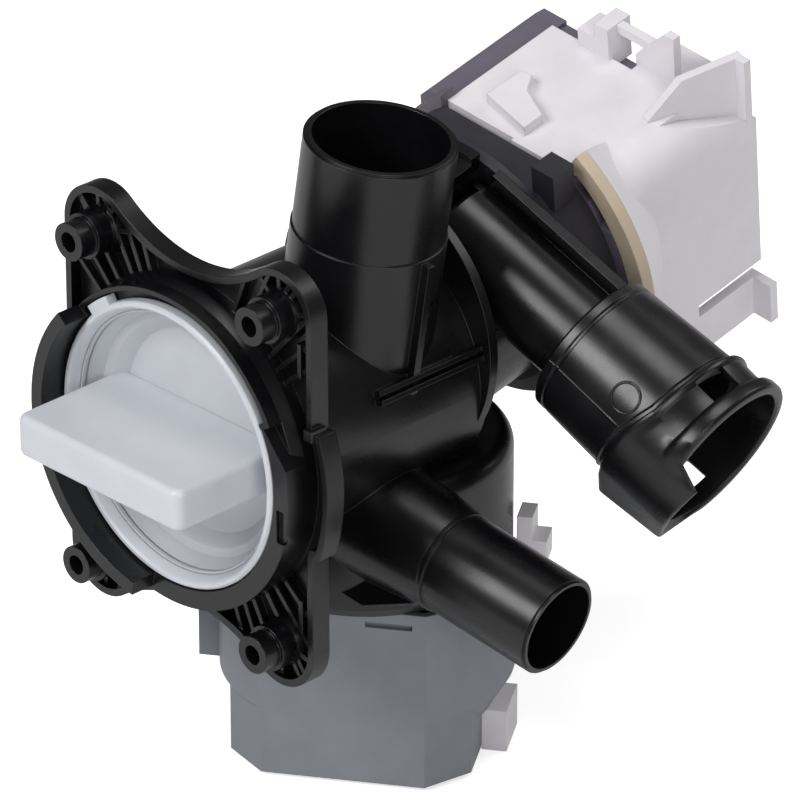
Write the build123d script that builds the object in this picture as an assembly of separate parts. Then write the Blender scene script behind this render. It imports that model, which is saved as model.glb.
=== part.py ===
"""Washer drain pump unit: a filter sump with its lint filter, a drain pump under it and a
circulation pump behind it, each driven by its own small synchronous motor.

Frame, in millimetres: the origin is the centre of the four flange bosses' front faces.
+X is to the right, +Y runs back along the filter chamber, +Z is up.
"""
import os
from math import acos, atan2, cos, degrees, hypot, radians, sin

from build123d import *

os.makedirs("parts", exist_ok=True)

# Fits and tools shared by all pieces
overrun = 1.0            # how far a cut runs past a face
running_fit = 0.06       # radial clearance of a shaft in its bush
free_gap = 0.35          # least gap between bodies that move past each other
seat_gap = 0.05          # gap between two pieces of one body that sit in each other

# Front flange with its four screw bosses
boss_spacing_x = 57.0
boss_spacing_z = 80.0
boss_r = 4.4
boss_front_length = 4.2
boss_body_r = 5.3
boss_foot_r = 6.4
boss_foot_length = 3.0
screw_hole_r = 2.3
ear_r = 10.5
tray_front = 8.3         # front edge of the wall round the tray, back from the boss faces
tray_floor = 11.4
flange_back = 13.2
tray_wall = 1.8
valley_z = 41.2          # height of the dip between two ears
side_bulge_r = 43.8
side_bulge_half = 15.0
rib_t = 1.1
rib_front = 9.3
ear_rib_angles = (15, 55, 95, 135)
fan_rib_angles = (-16, -11, -6, 2, 8, 14)
edge_tab_height = 8.0
edge_tab_width = 4.5
edge_tab_z_share = 0.78
edge_hook = 2.6

# Collar round the filter cap
collar_wall_r = 36.8
collar_foot_r = 37.6
collar_front = 1.6
recess_r = 33.7
recess_floor = 4.5
pocket_r = 35.6
pocket_from, pocket_to = 29, 137
lip_front = -4.5
lip_r = 37.0
lip_from, lip_to = 138, 262
face_front = 1.9
face_r = 38.2
face_from, face_to = -98, 45
face_step = 5.2
ramp_start = (23.5, 23.9)
ramp_end = (39.2, 5.6)
slot_depth = 1.0
slot_width = 2.4
slot_height = 8.0
slot_place = (35.7, -6.5)

# Filter chamber and bayonet ledge
chamber_r = 30.0
chamber_bore_r = 27.6
entry_r = 32.6
entry_end = 10.9
ledge_r = 30.4
ledge_front = 4.7
ledge_back = 7.1
bayonet_half_angle = 15
chamber_bore_end = 68.0
chamber_end = 70.8
neck_r = 21.5
neck_z = 6.0
neck_end = 86.0
side_ledge_t = 1.1
side_ledge_out = 2.2
side_ledge_length = 33.6
side_ledge_angles = (16, 20)

# Inlet spigot on top of the chamber
inlet_mouth = (17.2, 50.4, 63.9)
inlet_way = (0.131, 0.037, 0.991)
inlet_r = 17.0
inlet_bore_r = 15.2
lip_round = 0.6
inlet_length = 56.0
inlet_step = 22.5
inlet_step_out = 0.35
inlet_rib_out = 2.5
inlet_rib_t = 2.0
inlet_rib_top = 23.0
inlet_rib_length = 35.0
inlet_rib_angle = 1
end_disc_r, end_disc_z, end_disc_t = 33.0, 8.0, 2.4

# Drain volute under the chamber, with its outlet spigot
drain_x, drain_y = 0.6, 62.0
drain_bowl_r = 33.0
drain_bowl_top = -17.0
drain_bowl_foot = -46.0
drain_bowl_round = 4.0
drain_scroll_r = 27.0
drain_scroll_top = -33.0
drain_eye_r = 7.4
outlet_mouth = (70.6, 52.0, -36.7)
outlet_way = (0.979, 0.085, -0.187)
outlet_r = 11.7
outlet_bore_r = 10.3
outlet_length = 50.0
outlet_bore_length = 46.5
outlet_root_r = 12.1
outlet_root_taper = 6.5
outlet_root_start = 31.0
outlet_root_length = 29.0
outlet_seam_r = 12.2
outlet_seam_width = 1.2
fin_t = 2.2
fin_start, fin_deep, fin_end = 32.0, 44.0, 60.0
fin_out = 19.0
fin_angle = 232

# Drain pump head and motor, hanging under the bowl
head_t = 2.6
head_r = 31.0
head_plug_t = 1.9
can_r = 12.8
can_bore_r = 11.6
can_length = 36.0
can_floor = 1.6
bush_r = 5.2
bush_t = 4.0
shaft_r = 2.0
magnet_r = 10.9
magnet_length = 24.0
motor_half = 27.8
motor_chamfer = 9.0
motor_turn = 34.0
motor_length = 44.2
motor_wall = 1.8
skirt_r = 33.7
skirt_length = 27.5
skirt_blend = 8.5
skirt_foot_r = 28.6
stack_half = 23.0
stack_height = 18.0
stack_drop = 8.0
window_half_x, window_half_y = 19.6, 13.0
pole_half = 5.5
coil_clear = 0.6
coil_over = 3.0
impeller_r = 20.0
impeller_disc_t = 1.6
impeller_vane_t = 1.5
impeller_vane_height = 7.0
impeller_hub_r = 5.0
vane_count = 6
vane_bend_share = 0.7
impeller_rise = 0.9
vent_slot_width = 10.7
vent_slot_height = 1.3
vent_slot_drop = 3.4
vent_slot_deep = 2.4
vent_slot_side = 10.6

# Drain motor connector, terminals and side latch
plug_width = 13.0
plug_depth = 5.8
plug_height = 10.4
plug_wall = 1.3
plug_side = 0.0
plug_z = -39.9
blade_width, blade_t, blade_length = 4.0, 0.8, 7.0
blade_pitch = 5.6
latch_width, latch_depth, latch_height = 8.0, 5.6, 11.5
latch_frame = 1.3
latch_side = -1.7
latch_z = -22.4
latch_tongue_share = 0.6
catch_gap = 0.3
catch_out, catch_width, catch_height = 3.6, 7.0, 12.0
catch_side = 8.4
catch_z = 3.6
hook_out, hook_height, hook_z = 3.6, 5.6, 1.1

# Circulation pump, behind the chamber and tilted up a little towards the back
circ_z = 6.5
circ_tilt = 13.0
circ_pivot_y = 74.0
volute_front = 76.0
volute_back = 96.5
volute_wall = 2.2
scroll_start_r, scroll_end_r = 25.6, 33.4
scroll_start, scroll_turn = -16, 270
scroll_points = 10
volute_flange_out = 2.2
volute_flange_t = 2.6
plug_r = 22.8
scroll_back_gap = 1.6
circ_eye_r = 10.5
discharge_drop = 26.0
discharge_offset = 21.7
discharge_y = 87.4
discharge_r = 11.7
discharge_bore_r = 9.7
discharge_length = 42.4
wing_length = 42.0

# Discharge nozzle, a sleeve with a bayonet mouth
sleeve_back_r = 17.2
sleeve_front_r = 18.6
sleeve_wall = 2.0
sleeve_length = 39.5
sleeve_back_t = 2.4
mouth_ring_r = 20.4
mouth_ring_length = 2.6
mouth_step_r = 19.4
mouth_step_start = 17.0
mouth_bore_r = 18.0
mouth_bore_length = 10.0
window_width, window_length = 9.0, 5.2
window_back = 4.6
key_reach = 23.2
key_angle = 232
notch_from, notch_to = 188, 266
notch_deep = 3.4
notch_tongue = 9

# Circulation pump head and motor
circ_head_r = 33.4
circ_head_t = 13.0
circ_head_plate = 3.0
circ_head_wall = 2.4
circ_can_length = 38.0
cube_size, cube_height = 6.6, 9.6
cube_place = (19.9, 30.4, 5.6)
head_flat_front = 3.0
former_r_in = 36.4
former_r_out = 41.2
former_t = 3.0
former_from, former_to = -64, 58
circ_motor_half = 30.0
circ_motor_right, circ_motor_top = 27.2, 26.1
circ_corner_cut = 3.0
circ_motor_inner = 24.0
circ_motor_chamfer = 8.0
circ_motor_length = 41.0
circ_skirt_r = 36.1
circ_roll = 8.0

# White connector cover over the circulation motor, measured from its front left top corner
cover_left, cover_top, cover_front = -19.9, 27.8, -1.8
cover_deep = 34.5
cover_plate_t = 2.8
cover_edge_t = 4.4
cover_edge_deep = 2.0
cover_plate_width = 25.0
cover_right = 49.6
cover_side_t = 2.4
cover_side_front, cover_side_back = 1.3, 48.2
cover_side_low = -52.0
cover_corner_r = 10.0
cover_tab = (20.5, 30.2, -0.8, 4.3)
wedge_height = 2.6
wedge_points = ((7.6, 5.0), (22.1, 2.0), (22.1, 7.8), (13.6, 11.8), (10.9, 16.2), (7.9, 16.2))
cover_wall_foot, cover_wall_head = (40.2, 23.0), (47.4, 47.0)
cover_wall_points = ((0, -2.0), (0, 0.5), (9.0, 8.0), (25.0, 8.2), (25.0, -12.0))
cover_wall_t = 2.2
shelf_from = 42.5
shelf_line = ((23.0, 0.0), (63.0, -15.0))
shelf_reach = 30.0
shelf_cut_from, shelf_cut_drop = 38.0, 3.2
return_from, return_front, return_back, return_low, return_high = 46.0, 45.0, 47.0, -12.0, 8.2
block_from, block_to, block_deep, block_height = 9.0, 18.5, 6.5, 4.5
post_width, post_height = 4.2, 8.6
arm_width, arm_low, arm_high = 2.2, 6.0, 8.4
fin_points = ((24.0, -1.0), (36.0, -1.0), (36.0, 13.2), (33.1, 13.2), (24.0, 3.0))
cover_fin_y, cover_fin_t = 36.6, 2.2
foot_from, foot_front, foot_back, foot_low, foot_high = 47.2, 21.0, 47.6, -66.5, -55.5
foot_post = 6.0
foot_return, foot_return_t = 5.3, 2.4
flare_lip = 4.4
flare_foot_r = 31.4
flare_foot = 16.0
flare_wall = 1.6

# Lint filter: cap, grip, seal and basket
cap_r = 33.25
cap_front = 1.5
cap_rim_back = 4.2
cap_rim_inner_r = 31.5
cap_rim_bevel = 0.5
dish_shoulder = (28.4, 9.0)
dish_step = (26.4, 9.5)
dish_floor_r = 23.8
dish_floor = 12.4
cap_neck_r = 30.0
cap_neck_end = 10.6
cap_tail_r = 27.1
groove_r = 25.4
groove_front = 11.5
groove_back = 14.5
cap_back = 16.2
cap_web_back = 14.2
cap_socket_r = 24.3
cap_lug_r = 32.2
cap_lug_front = 7.5
cap_lug_back = 10.4
cap_lug_half_angle = 12
stop_lug_r = 35.2
stop_lug_angle = 128
stop_lug_half_angle = 6
grip_width = 52.0
grip_t = 10.0
grip_front = -19.0
grip_corner = 2.6
grip_edge = 1.6
grip_rise = 0.9
seal_r = 27.5
basket_r = 24.2
basket_wall = 1.6
basket_end = 60.0
basket_ring = 3.0
basket_bar_count = 12
basket_bar_width = 2.2
basket_floor_t = 1.8
basket_floor_hole_r = 3.2
basket_floor_hole_ring = 13.0
basket_floor_holes = 8


def at_y(y):
    """The sketch plane at depth y, seen from the front with +X right and +Z up."""
    return Plane.XZ.offset(-y)


def slab(sketch, y_front, y_back):
    """A front-view sketch as a solid from y_front back to y_back."""
    return extrude(at_y(y_front) * sketch, -(y_back - y_front))


def column(sketch, z_low, z_high):
    """A top-view sketch as a solid from z_low up to z_high."""
    return extrude(Plane.XY.offset(z_low) * sketch, z_high - z_low)


def spun_y(points):
    """A closed (radius, y) profile turned about the filter axis."""
    return revolve(make_face(Plane.XY * Polyline(*points, close=True)), Axis.Y)


def spun_z(points):
    """A closed (radius, z) profile turned about the vertical through the origin."""
    return revolve(make_face(Plane.XZ * Polyline(*points, close=True)), Axis.Z)


def sector(radius, start, end):
    """A pie slice from the start to the end angle, in degrees from +X towards +Z."""
    first = Line((0, 0), (radius * cos(radians(start)), radius * sin(radians(start))))
    arc = CenterArc((0, 0), radius, start, end - start)
    return make_face([first, arc, Line(arc @ 1, (0, 0))])


def polar(radius, angle):
    """The point at a radius and an angle in degrees."""
    return (radius * cos(radians(angle)), radius * sin(radians(angle)))


def ring(outer, inner):
    """A flat ring."""
    return Circle(outer) - Circle(inner)


def rod(mouth, way, radius, length, lead=0):
    """A round bar from the mouth point back against its way, with a lead in front."""
    plane = Plane(origin=mouth, z_dir=way)
    return extrude(plane.offset(lead) * Circle(radius), -(length + lead))


def tilted(shape):
    """Turns a piece of the circulation pump from level to its real tilt."""
    return shape.rotate(Axis((0, circ_pivot_y, circ_z), (1, 0, 0)), circ_tilt)


boss_places = [(sx * boss_spacing_x / 2, sz * boss_spacing_z / 2) for sx in (-1, 1) for sz in (-1, 1)]


def flange_outline():
    """Four round ears joined by hollow arcs above and below, with a bulge on each side."""
    half_x, half_z = boss_spacing_x / 2, boss_spacing_z / 2
    drop = valley_z - half_z
    arc_r = (half_x ** 2 + drop ** 2 - ear_r ** 2) / (2 * (ear_r - drop))
    reach = hypot(half_x, drop + arc_r)
    tangent_x = half_x - ear_r * half_x / reach
    tangent_z = half_z + ear_r * (drop + arc_r) / reach
    outline = Rectangle(2 * (half_x + ear_r), 2 * half_z)
    for x, z in boss_places:
        outline += Pos(x, z) * Circle(ear_r)
    for side in (-1, 1):
        neck = [(-half_x, side * half_z), (-tangent_x, side * tangent_z),
                (tangent_x, side * tangent_z), (half_x, side * half_z)]
        outline += make_face(Polyline(*neck, close=True))
        outline -= Pos(0, side * (valley_z + arc_r)) * Circle(arc_r)
    bulge = Circle(side_bulge_r) & Rectangle(2 * side_bulge_r, 2 * side_bulge_half)
    return outline + bulge


def tray_ribs(outline):
    """Thin ribs in the four trays: a fan from the collar and a star round each boss."""
    ribs = Sketch()
    far = boss_spacing_z
    for x, z in boss_places:
        base = degrees(atan2(z, x))
        for step in fan_rib_angles:
            ribs += Rot(0, 0, base + step) * Pos(far / 2, 0) * Rectangle(far, rib_t)
        for step in ear_rib_angles:
            turn = step if z > 0 else -step
            ribs += Pos(x, z) * Rot(0, 0, turn) * Pos(ear_r / 2, 0) * Rectangle(ear_r, rib_t)
    return (ribs & offset(outline, -tray_wall / 2)) - Circle(collar_foot_r)


def make_flange():
    """The tray-like front flange: floor, edge wall, ribs, bosses and the small edge tabs."""
    outline = flange_outline()
    body = slab(outline, tray_front, flange_back)
    body -= slab(offset(outline, -tray_wall), tray_front - overrun, tray_floor)
    body += slab(tray_ribs(outline), rib_front, tray_floor + overrun / 2)
    for x, z in boss_places:
        body += slab(Pos(x, z) * Circle(boss_r), 0, tray_floor + overrun / 2)
        body += slab(Pos(x, z) * Circle(boss_body_r), boss_front_length, tray_floor + overrun / 2)
        foot = Pos(x, 0, z) * spun_y([(0, tray_floor - boss_foot_length), (boss_body_r, tray_floor - boss_foot_length),
                                      (boss_foot_r, tray_floor), (0, tray_floor)])
        body += foot
    edge_x = boss_spacing_x / 2 + ear_r - edge_tab_width / 2
    for z in (edge_tab_z_share * boss_spacing_z / 2, -edge_tab_z_share * boss_spacing_z / 2):
        tab = Pos(edge_x, z) * Rectangle(edge_tab_width, edge_tab_height)
        tab -= Pos(edge_x, z) * Rectangle(edge_tab_width / 2, edge_tab_height)
        body += slab(tab, tray_front, tray_floor + overrun / 2)
    hook_x = boss_spacing_x / 2 + ear_r
    body += slab(Pos(hook_x, side_bulge_half) * Rectangle(edge_hook, edge_hook), tray_front - edge_hook / 2, tray_floor)
    return body


def make_collar():
    """The ring round the cap: a foot, a thin wall over the stop lug's path, a drip lip and a flat face."""
    body = spun_y([(0, face_step), (collar_wall_r, face_step), (collar_foot_r, tray_front),
                   (collar_foot_r, flange_back), (0, flange_back)])
    body += slab(sector(collar_wall_r, pocket_from - 2, pocket_to + 2), collar_front, face_step + overrun)
    body += slab(sector(lip_r, lip_from, lip_to), lip_front, face_step + overrun)
    far = 2 * face_r
    run = (ramp_end[0] - ramp_start[0], ramp_end[1] - ramp_start[1])
    length = hypot(*run)
    along = (run[0] / length, run[1] / length)
    beyond = [(ramp_start[0] - along[0] * far, ramp_start[1] - along[1] * far),
              (ramp_end[0] + along[0] * far, ramp_end[1] + along[1] * far),
              (ramp_end[0] + (along[0] - along[1]) * far, ramp_end[1] + (along[1] + along[0]) * far),
              (ramp_start[0] - (along[0] + along[1]) * far, ramp_start[1] - (along[1] - along[0]) * far)]
    face = sector(face_r, face_from, face_to) - make_face(Polyline(*beyond, close=True))
    flat = slab(face, face_front, tray_front)
    flat -= slab(Pos(*slot_place) * Rectangle(slot_width, slot_height), face_front - overrun, face_front + slot_depth)
    return body + flat


def make_sump_envelope(volute_envelope):
    """Everything of the sump moulding before its hollows are cut."""
    body = make_flange() + make_collar()
    body += slab(Circle(chamber_r), flange_back - overrun, chamber_end)
    body += slab(Pos(0, end_disc_z) * Circle(end_disc_r), chamber_end - end_disc_t, chamber_end)
    body += slab(Pos(0, neck_z) * Circle(neck_r), chamber_end - overrun, neck_end)
    inlet_plane = Plane(origin=inlet_mouth, x_dir=(1, 0, 0), z_dir=inlet_way)
    inlet = extrude(inlet_plane.offset(-lip_round) * Circle(inlet_r), lip_round - inlet_length)
    inlet += extrude(inlet_plane * Circle(inlet_r - lip_round), -2 * lip_round)
    inlet += extrude(inlet_plane.offset(-inlet_step) * Circle(inlet_r + inlet_step_out), inlet_step - inlet_length)
    rib = Rot(0, 0, inlet_rib_angle) * Pos(inlet_r, 0) * Rectangle(2 * inlet_rib_out, inlet_rib_t)
    inlet += extrude(inlet_plane.offset(-inlet_rib_top) * rib, -inlet_rib_length)
    body += inlet
    bowl = column(Circle(drain_bowl_r), drain_bowl_foot, drain_bowl_top)
    bowl = fillet(bowl.edges().group_by(Axis.Z)[-1], drain_bowl_round)
    body += Pos(drain_x, drain_y, 0) * bowl
    outlet_plane = Plane(origin=outlet_mouth, x_dir=(0, 1, 0), z_dir=outlet_way)
    body += extrude(outlet_plane.offset(-lip_round) * Circle(outlet_r), lip_round - outlet_length)
    body += extrude(outlet_plane * Circle(outlet_r - lip_round), -2 * lip_round)
    root = Plane(origin=outlet_plane.offset(-outlet_root_start).origin, x_dir=(0, 1, 0),
                 z_dir=tuple(-c for c in outlet_way))
    body += extrude(root * Circle(outlet_root_r), outlet_root_length, taper=-outlet_root_taper)
    body += extrude(outlet_plane.offset(-outlet_root_start) * Circle(outlet_seam_r), outlet_seam_width)
    side = outlet_plane.x_dir * cos(radians(fin_angle)) + outlet_plane.y_dir * sin(radians(fin_angle))
    web_plane = Plane(origin=outlet_mouth, x_dir=side, z_dir=side.cross(outlet_plane.z_dir))
    web = Polyline((0, -fin_start), (outlet_r, -fin_start), (fin_out, -fin_deep), (fin_out, -fin_end), (0, -fin_end),
                   close=True)
    body += extrude(web_plane.offset(-fin_t / 2) * make_face(web), fin_t)
    for angle in side_ledge_angles:
        mid = chamber_r + side_ledge_out / 2 - overrun
        bar = Rot(0, 0, angle) * Pos(mid, 0) * Rectangle(side_ledge_out + 2 * overrun, side_ledge_t)
        body += slab(bar, chamber_end - side_ledge_length, chamber_end - tray_wall)
    return body - volute_envelope


def make_sump(volute_envelope):
    """The one-piece sump moulding with its bores, bayonet ledge and screw holes."""
    body = make_sump_envelope(volute_envelope)
    body -= slab(Circle(recess_r), lip_front - overrun, recess_floor)
    body -= slab(sector(pocket_r, pocket_from, pocket_to), lip_front - overrun, recess_floor)
    body -= slab(Circle(entry_r), recess_floor - overrun, entry_end)
    body -= slab(Circle(chamber_bore_r), entry_end - overrun, chamber_bore_end)
    body -= rod(inlet_mouth, inlet_way, inlet_bore_r, inlet_length, overrun)
    body -= rod(outlet_mouth, outlet_way, outlet_bore_r, outlet_bore_length, overrun)
    scroll = column(Circle(drain_scroll_r), drain_bowl_foot - overrun, drain_scroll_top)
    eye = column(Circle(drain_eye_r), drain_scroll_top - overrun, -chamber_bore_r * 2 / 3)
    body -= Pos(drain_x, drain_y, 0) * (scroll + eye)
    body -= tilted(slab(Pos(0, circ_z) * Circle(circ_eye_r), chamber_bore_end - chamber_r / 4, chamber_end + overrun))
    ledge = ring(entry_r + overrun / 2, ledge_r)
    for start in (0, 180):
        ledge -= sector(entry_r + overrun, start - bayonet_half_angle, start + bayonet_half_angle)
    body += slab(ledge, ledge_front, ledge_back)
    for x, z in boss_places:
        body -= slab(Pos(x, z) * Circle(screw_hole_r), -overrun, flange_back + overrun)
    return body


# The discharge runs down to the right from the top of the volute
discharge_way = (cos(radians(discharge_drop)), 0, -sin(radians(discharge_drop)))
discharge_side = (sin(radians(discharge_drop)), 0, cos(radians(discharge_drop)))
discharge_root = (discharge_offset * discharge_side[0], discharge_y, circ_z + discharge_offset * discharge_side[2])


def along_discharge(distance):
    """A point on the discharge axis, a distance from the foot under the pump's centre."""
    return tuple(discharge_root[i] + distance * discharge_way[i] for i in range(3))


def discharge_plane(distance):
    """The plane across the discharge, with its x towards the back and its y upwards."""
    return Plane(origin=along_discharge(distance), x_dir=(0, 1, 0), z_dir=discharge_way)


def spiral(grow):
    """The scroll's outline about the pump's centre, grown by a margin: a spiral that ends along the discharge."""
    spots = []
    for i in range(scroll_points + 1):
        share = i / scroll_points
        radius = scroll_start_r + (scroll_end_r - scroll_start_r) * share + grow
        angle = radians(scroll_start - scroll_turn * share)
        spots.append((radius * cos(angle), radius * sin(angle)))
    curve = Spline(*spots)
    return make_face([curve, Polyline(spots[-1], (0, 0), spots[0])]) + Circle(scroll_start_r + grow)


def make_volute_envelope():
    """The circulation volute before its hollows: scroll, rear flange with its wing, and discharge tube."""
    centre = Pos(0, circ_z)
    bowl = slab(centre * spiral(0), volute_front, volute_back)
    reach = scroll_end_r + volute_flange_out
    wing = Rot(0, 0, -discharge_drop) * Pos(wing_length / 2, reach / 2) * Rectangle(wing_length, reach)
    bowl += slab(centre * (spiral(volute_flange_out) + wing), volute_back - volute_flange_t, volute_back)
    tube = extrude(discharge_plane(0) * Circle(discharge_r), discharge_length)
    near = slab(centre * Circle(circ_head_r + overrun), volute_back, volute_back + 2 * discharge_r)
    return bowl + (tube - near)


def make_volute():
    """The circulation volute with its scroll, eye and discharge bore."""
    body = make_volute_envelope()
    centre = Pos(0, circ_z)
    body -= slab(centre * spiral(-volute_wall), volute_front + volute_wall, volute_back + overrun)
    body -= slab(centre * Circle(circ_eye_r), volute_front - overrun, volute_back)
    bore = extrude(discharge_plane(0) * Circle(discharge_bore_r), discharge_length + overrun)
    near = slab(centre * Circle(circ_head_r + overrun), volute_back - scroll_back_gap, volute_back + 2 * discharge_r)
    return tilted(body - (bore - near))


def make_nozzle():
    """The sleeve on the discharge tube, with a stepped bayonet mouth, a window and a keyed side."""
    start = discharge_length
    back = discharge_plane(start - sleeve_back_t)
    front = start + sleeve_length
    length = front - mouth_step_start - start + sleeve_back_t
    body = extrude(back * Circle(sleeve_back_r), length, taper=-degrees(atan2(sleeve_front_r - sleeve_back_r, length)))
    step = discharge_plane(front - mouth_step_start)
    half = degrees(acos(mouth_step_r / key_reach))
    key = make_face(Polyline(polar(key_reach, key_angle), polar(mouth_step_r, key_angle - half), (0, 0),
                             polar(mouth_step_r, key_angle + half), close=True))
    body += extrude(step * (Circle(mouth_step_r) + key), mouth_step_start)
    body += extrude(discharge_plane(front - mouth_ring_length) * Circle(mouth_ring_r), mouth_ring_length)
    body -= extrude(discharge_plane(start) * Circle(sleeve_back_r - sleeve_wall), sleeve_length + overrun)
    deep = front - mouth_bore_length
    body -= extrude(discharge_plane(deep) * Circle(mouth_bore_r), mouth_bore_length + overrun)
    body -= extrude(discharge_plane(0) * Circle(discharge_r + seat_gap), start + overrun)
    body -= make_volute_envelope()
    window = Pos(0, sleeve_front_r) * Rectangle(window_width, sleeve_front_r)
    body -= extrude(discharge_plane(front - window_back - window_length) * window, window_length)
    for first, last in ((notch_from, key_angle - notch_tongue), (key_angle + notch_tongue, notch_to)):
        cut = sector(2 * key_reach, first, last)
        body -= extrude(discharge_plane(front - notch_deep) * cut, notch_deep + overrun)
    return tilted(body)


def octagon(half, chamfer):
    """A square with its corners cut off."""
    inner = half - chamfer
    points = [(inner, -half), (half, -inner), (half, inner), (inner, half),
              (-inner, half), (-half, inner), (-half, -inner), (-inner, -half)]
    return make_face(Polyline(*points, close=True))


# The motors are made on a vertical axis: the motor hangs below z = 0 and the pump head stands on it.
def drain_round(grow):
    """The round skirt and the shoulder it is blended into the box by, grown by a margin."""
    wide, low = skirt_r + grow, -skirt_length - skirt_blend
    return spun_z([(0, 0), (wide, 0), (wide, -skirt_length), (skirt_foot_r + grow, low), (0, low)])


def drain_shell():
    """The cup over the drain motor: an eight-sided box, a round skirt blended into it, flat in front."""
    front = Pos(0, skirt_r - motor_half, -motor_length / 2) * Box(2 * skirt_r, 2 * skirt_r, 2 * motor_length)
    body = column(octagon(motor_half, motor_chamfer), -motor_length, 0) + (drain_round(0) & front)
    inner = column(octagon(motor_half - motor_wall, motor_chamfer - motor_wall / 2), -motor_length + motor_wall, overrun)
    inner_r = skirt_r - motor_wall
    hollow = spun_z([(0, overrun), (inner_r, overrun), (inner_r, -skirt_length), (0, -skirt_length)])
    clear = Pos(0, skirt_r - motor_half + motor_wall, 0) * Box(2 * skirt_r, 2 * skirt_r, 2 * motor_length)
    return body - inner - (hollow & clear)


def motor_can(length):
    """The sealed can that the rotor turns in, from the pump head down into the motor."""
    return column(Circle(can_r), -length, overrun / 2)


def can_hollow(length, mouth):
    """The rotor's space in the can, with the narrow neck at the mouth that holds the pump-end bush."""
    hollow = column(Circle(can_bore_r), -length + can_floor, mouth - bush_t)
    return hollow + column(Circle(bush_r + seat_gap), mouth - bush_t - overrun, mouth + overrun)


def bushes(length, mouth):
    """The two bearing bushes, at the pump end and at the blind end of the can."""
    bore = Circle(shaft_r + running_fit)
    top = column(Circle(bush_r) - bore, mouth - bush_t, mouth - seat_gap)
    floor = -length + can_floor
    low = column(Circle(can_bore_r - seat_gap) - bore, floor + seat_gap, floor + bush_t)
    return top + low


def stator_core():
    """The laminated stack: an eight-sided frame of steel sheet with two poles that face the can."""
    frame = octagon(stack_half, motor_chamfer) - Rectangle(2 * window_half_x, 2 * window_half_y)
    frame += Rectangle(2 * stack_half, 2 * pole_half)
    frame -= Circle(can_r + seat_gap)
    return column(frame, -stack_drop - stack_height, -stack_drop)


def coils():
    """Two wound coils, one round each pole, kept clear of the can."""
    start = can_r + coil_clear
    wide = window_half_x - start - seat_gap
    result = []
    for side in (-1, 1):
        centre = Pos(side * (start + wide / 2), 0, -stack_drop - stack_height / 2)
        block = centre * Box(wide, 2 * window_half_y - 2 * coil_clear, stack_height + 2 * coil_over)
        result.append(block - centre * Box(wide + 2 * overrun, 2 * pole_half + 2 * seat_gap,
                                           stack_height + 2 * seat_gap))
    return Compound(result)


def rotor_magnet(mouth):
    """The ring magnet on the shaft."""
    top = mouth - bush_t - free_gap
    return column(Circle(magnet_r) - Circle(shaft_r + seat_gap), top - magnet_length, top)


def rotor_shaft(length, tip):
    """The steel shaft, from the blind bush into the impeller's hub."""
    return column(Circle(shaft_r), -length + can_floor + free_gap, tip)


def impeller(radius, bottom, curved):
    """A disc with a hub and vanes standing on it, bored for the shaft."""
    deck = bottom + impeller_disc_t
    body = column(Circle(radius), bottom, deck)
    body += column(Circle(impeller_hub_r), bottom, deck + impeller_vane_height)
    bend = radius * vane_bend_share
    for i in range(vane_count):
        if curved:
            vane = Pos(radius - bend, -bend) * ring(bend + impeller_vane_t, bend)
            vane = vane & Circle(radius) & (Pos(radius / 2, radius / 2 - bend) * Rectangle(radius, radius))
        else:
            vane = Circle(radius) & (Pos(radius / 2, 0) * Rectangle(radius, impeller_vane_t))
        body += column(Rot(0, 0, 360 * i / vane_count) * vane, bottom, deck + impeller_vane_height)
    return body - column(Circle(shaft_r + seat_gap), bottom - overrun, deck + impeller_vane_height / 2)


def drain_place(shape):
    """Puts a piece made on the motor frame at the drain pump, with its flat front turned to the right."""
    return Pos(drain_x, drain_y, drain_bowl_foot - head_t) * Rot(0, 0, motor_turn) * shape


def circ_place(shape):
    """Puts a piece made on the motor frame behind the circulation volute, pointing back and tilted."""
    return tilted(Pos(0, volute_back + circ_head_t, circ_z) * Rot(90, 0, 0) * Rot(0, 0, -circ_roll) * shape)


def make_drain_head():
    """The plate that closes the drain volute, with its plug and the rotor's can."""
    mouth = head_t + head_plug_t
    body = column(Circle(head_r), 0, head_t) + column(Circle(drain_scroll_r - seat_gap), head_t, mouth)
    return drain_place(body + motor_can(can_length) - can_hollow(can_length, mouth))


def make_drain_cover():
    """The grey motor cover with its vent slot and the frame of the side latch."""
    body = drain_shell()
    slot = Pos(vent_slot_side, -motor_half, -vent_slot_drop) * Box(vent_slot_width, vent_slot_deep, vent_slot_height)
    body -= slot
    frame = Box(latch_depth, latch_width, latch_height)
    frame -= Box(latch_depth + overrun, latch_width - 2 * latch_frame, latch_height - 2 * latch_frame)
    return drain_place(body + latch_spot() * frame)


def latch_spot():
    """The middle of the side latch on the skirt."""
    return Pos(-skirt_r - latch_depth / 2 + latch_frame, latch_side, latch_z)


def make_latch_tongue():
    """The white tongue inside the side latch's frame."""
    gap = 2 * latch_frame + 2 * seat_gap
    tongue = Box(latch_depth * latch_tongue_share, latch_width - gap, latch_height - gap)
    return drain_place(latch_spot() * tongue - drain_round(seat_gap))


def make_drain_terminals():
    """The white terminal housing on the motor's side, with an open slot for the plug."""
    place = Pos(motor_half + plug_depth / 2, plug_side, plug_z)
    body = place * Box(plug_depth, plug_width, plug_height)
    slot = Pos(0, 0, -plug_wall) * Box(plug_depth - 2 * plug_wall, plug_width - 2 * plug_wall, plug_height)
    return drain_place(body - place * slot - drain_round(seat_gap))


def make_blades(count):
    """Flat tin-plated contact blades standing in the terminal housing."""
    place = Pos(motor_half + plug_depth / 2, plug_side, plug_z + plug_height / 2 - plug_wall - blade_length / 2)
    blades = [place * Pos(0, (i - (count - 1) / 2) * blade_pitch, 0) * Box(blade_t, blade_width, blade_length)
              for i in range(count)]
    return drain_place(Compound(blades))


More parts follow.
